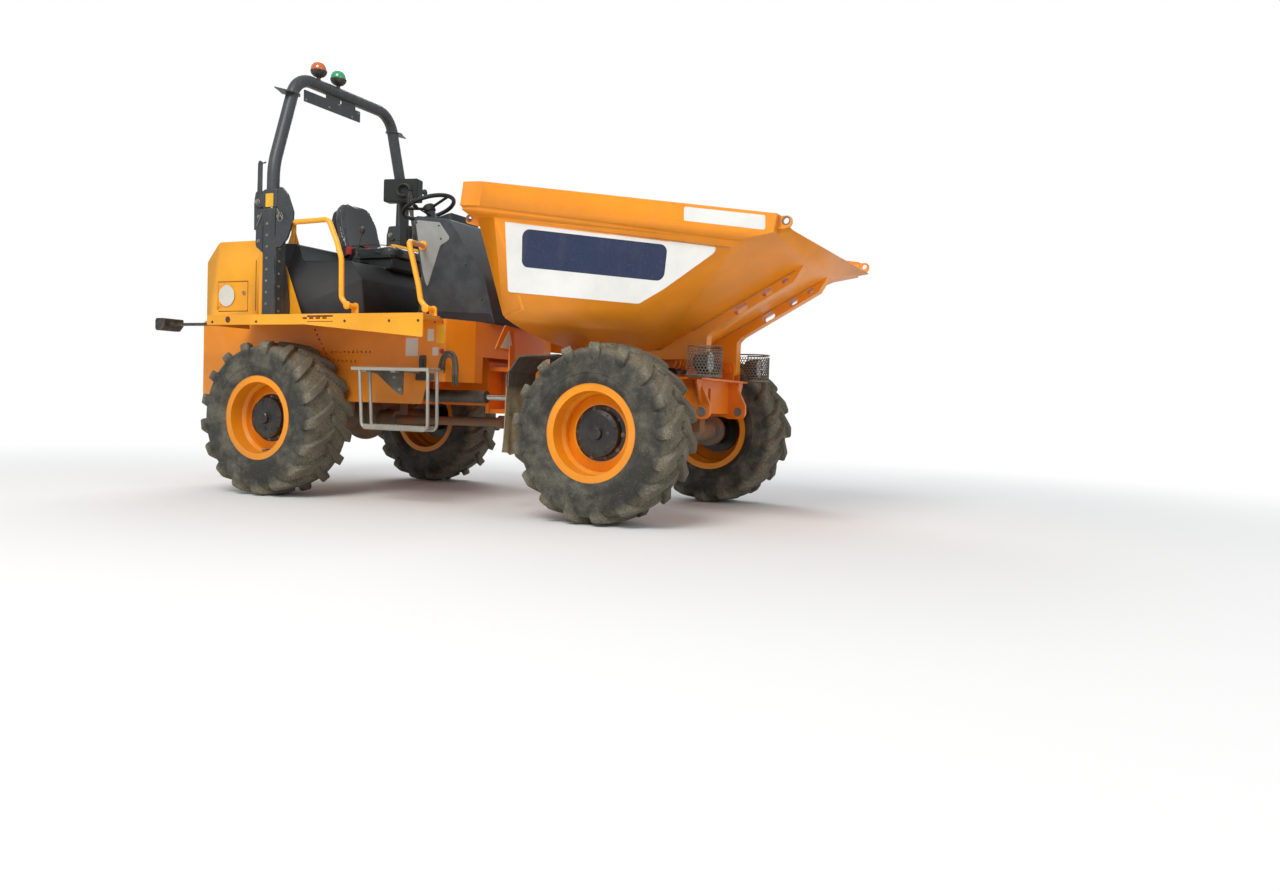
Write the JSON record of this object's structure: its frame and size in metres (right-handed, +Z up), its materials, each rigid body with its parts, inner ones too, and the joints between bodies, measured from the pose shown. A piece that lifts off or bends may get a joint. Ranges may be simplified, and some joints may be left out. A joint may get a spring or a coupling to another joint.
{
  "type": "site dumper",
  "caption": "Front-tipping site dumper: open steel skip on a centre-pivoted chassis with lugged tyres, open driver's seat, console and folding roll bar.",
  "frame": {"origin": "on the ground under the middle of the machine's length and width", "axes": "+X to the front, where the skip tips, +Y to the machine's left, +Z up"},
  "size_m": [4.566, 2.196, 3.0223],
  "materials": {
    "yellow_paint": "worn gloss paint, yellow-orange",
    "orange_paint": "worn gloss paint, orange, dusty and rubbed bright inside the skip",
    "chassis_paint": "orange paint with dust and rust at the edges",
    "roll_bar_paint": "dark grey satin paint",
    "black_steel": "black satin paint, dusty",
    "counterweight_iron": "painted casting, chipped",
    "engine_iron": "plain block",
    "tyre_rubber": "dusty rubber",
    "moulded_black": "moulded cover, matte",
    "moulded_console": "moulded cowl, matte, pale at the rear",
    "guard_rubber": "mudguard and flap, dusty",
    "seat_vinyl": "dark grey coated seat cover",
    "rim_black": "steering wheel",
    "step_steel": "galvanised tread and tube",
    "lamp_case": "lamp case with coloured lenses",
    "lamp_guard_steel": "worn perforated steel with a lamp inside",
    "beacon_lens": "amber and green lenses",
    "ram_barrel": "black barrel",
    "ram_rod": "polished rod"
  },
  "bodies": {
    "rear_frame": {"rear_axle": "chassis_paint", "rear_chassis": "chassis_paint", "side_panels": "orange_paint", "cab_floor": "orange_paint", "running_boards": "yellow_paint", "counterweight": "counterweight_iron", "engine": "engine_iron", "engine_cover": "yellow_paint", "rops_posts": "roll_bar_paint", "seat_surround": "moulded_black", "seat_cushion": "seat_vinyl", "seat_back": "seat_vinyl", "console": "moulded_console", "steering_wheel": "rim_black", "handrails": "yellow_paint", "steps": "step_steel", "rear_lamps": "lamp_case"},
    "front_frame": {"front_axle": "chassis_paint", "front_chassis": "chassis_paint", "mudguards": "guard_rubber", "headlamps": "lamp_guard_steel"},
    "skip": {"skip_shell": "orange_paint", "skip_ribs": "orange_paint"},
    "roll_bar": {"rops_hoop": "roll_bar_paint", "beacons": "beacon_lens"},
    "cover_door": {"access_door": "yellow_paint"},
    "tip_barrels": {"tip_ram_barrels": "ram_barrel"},
    "tip_rods": {"tip_ram_rods": "ram_rod"},
    "steer_barrel_right": {"steer_barrel_right": "ram_barrel"},
    "steer_rod_right": {"steer_rod_right": "ram_rod"},
    "steer_barrel_left": {"steer_barrel_left": "ram_barrel"},
    "steer_rod_left": {"steer_rod_left": "ram_rod"},
    "wheel_front_right": {"tyre_front_right": "tyre_rubber", "rim_front_right": "orange_paint", "hub_front_right": "black_steel"},
    "wheel_front_left": {"tyre_front_left": "tyre_rubber", "rim_front_left": "orange_paint", "hub_front_left": "black_steel"},
    "wheel_rear_right": {"tyre_rear_right": "tyre_rubber", "rim_rear_right": "orange_paint", "hub_rear_right": "black_steel"},
    "wheel_rear_left": {"tyre_rear_left": "tyre_rubber", "rim_rear_left": "orange_paint", "hub_rear_left": "black_steel"}
  },
  "joints": [
    {"name": "steering", "type": "hinge", "parent": "rear_frame", "child": "front_frame", "pos_m": [0.06, 0, 0.75], "axis": [0, 0, 1], "range_deg": [-30, 30]},
    {"name": "skip_tip", "type": "hinge", "parent": "front_frame", "child": "skip", "pos_m": [1.545, 0, 0.93], "axis": [0, 1, 0], "range_deg": [0, 60]},
    {"name": "roll_bar_fold", "type": "hinge", "parent": "rear_frame", "child": "roll_bar", "pos_m": [-1.636, 0, 2.01], "axis": [0, -1, 0], "range_deg": [0, 95]},
    {"name": "cover_door_swing", "type": "hinge", "parent": "rear_frame", "child": "cover_door", "pos_m": [-2.166, -0.6075, 1.375], "axis": [0, 0, -1], "range_deg": [0, 95]},
    {"name": "wheel_front_right_spin", "type": "hinge", "parent": "front_frame", "child": "wheel_front_right", "pos_m": [1.219, -0.893, 0.515], "axis": [0, 1, 0], "continuous": true},
    {"name": "wheel_front_left_spin", "type": "hinge", "parent": "front_frame", "child": "wheel_front_left", "pos_m": [1.219, 0.893, 0.515], "axis": [0, 1, 0], "continuous": true},
    {"name": "wheel_rear_right_spin", "type": "hinge", "parent": "rear_frame", "child": "wheel_rear_right", "pos_m": [-1.278, -0.893, 0.515], "axis": [0, 1, 0], "continuous": true},
    {"name": "wheel_rear_left_spin", "type": "hinge", "parent": "rear_frame", "child": "wheel_rear_left", "pos_m": [-1.278, 0.893, 0.515], "axis": [0, 1, 0], "continuous": true},
    {"name": "tip_barrel_swing", "type": "hinge", "parent": "front_frame", "child": "tip_barrels", "pos_m": [0.52, 0, 0.745], "axis": [0, -1, 0], "range_deg": [-1, 11.61]},
    {"name": "tip_rod_slide", "type": "slide", "parent": "tip_barrels", "child": "tip_rods", "axis": [0.9648, 0, 0.2631], "range_m": [-0.001, 0.1961]},
    {"name": "steer_barrel_right_swing", "type": "hinge", "parent": "rear_frame", "child": "steer_barrel_right", "pos_m": [-0.46, -0.41, 0.7], "axis": [0, 0, 1], "range_deg": [-12.42, 12.42]},
    {"name": "steer_rod_right_slide", "type": "slide", "parent": "steer_barrel_right", "child": "steer_rod_right", "axis": [1, 0, 0], "range_m": [-0.2149, 0.2149]},
    {"name": "steer_barrel_left_swing", "type": "hinge", "parent": "rear_frame", "child": "steer_barrel_left", "pos_m": [-0.46, 0.41, 0.7], "axis": [0, 0, 1], "range_deg": [-12.42, 12.42]},
    {"name": "steer_rod_left_slide", "type": "slide", "parent": "steer_barrel_left", "child": "steer_rod_left", "axis": [1, 0, 0], "range_m": [-0.2149, 0.2149]}
  ],
  "couplings": [
    {"joint": "tip_barrel_swing", "follows": "skip_tip", "ratio": 0.17676},
    {"joint": "tip_rod_slide", "follows": "skip_tip", "m_per_rad": 0.18532},
    {"joint": "steer_barrel_right_swing", "follows": "steering", "ratio": 0.39725},
    {"joint": "steer_rod_right_slide", "follows": "steering", "m_per_rad": 0.40669},
    {"joint": "steer_barrel_left_swing", "follows": "steering", "ratio": 0.39725},
    {"joint": "steer_rod_left_slide", "follows": "steering", "m_per_rad": -0.40669}
  ]
}
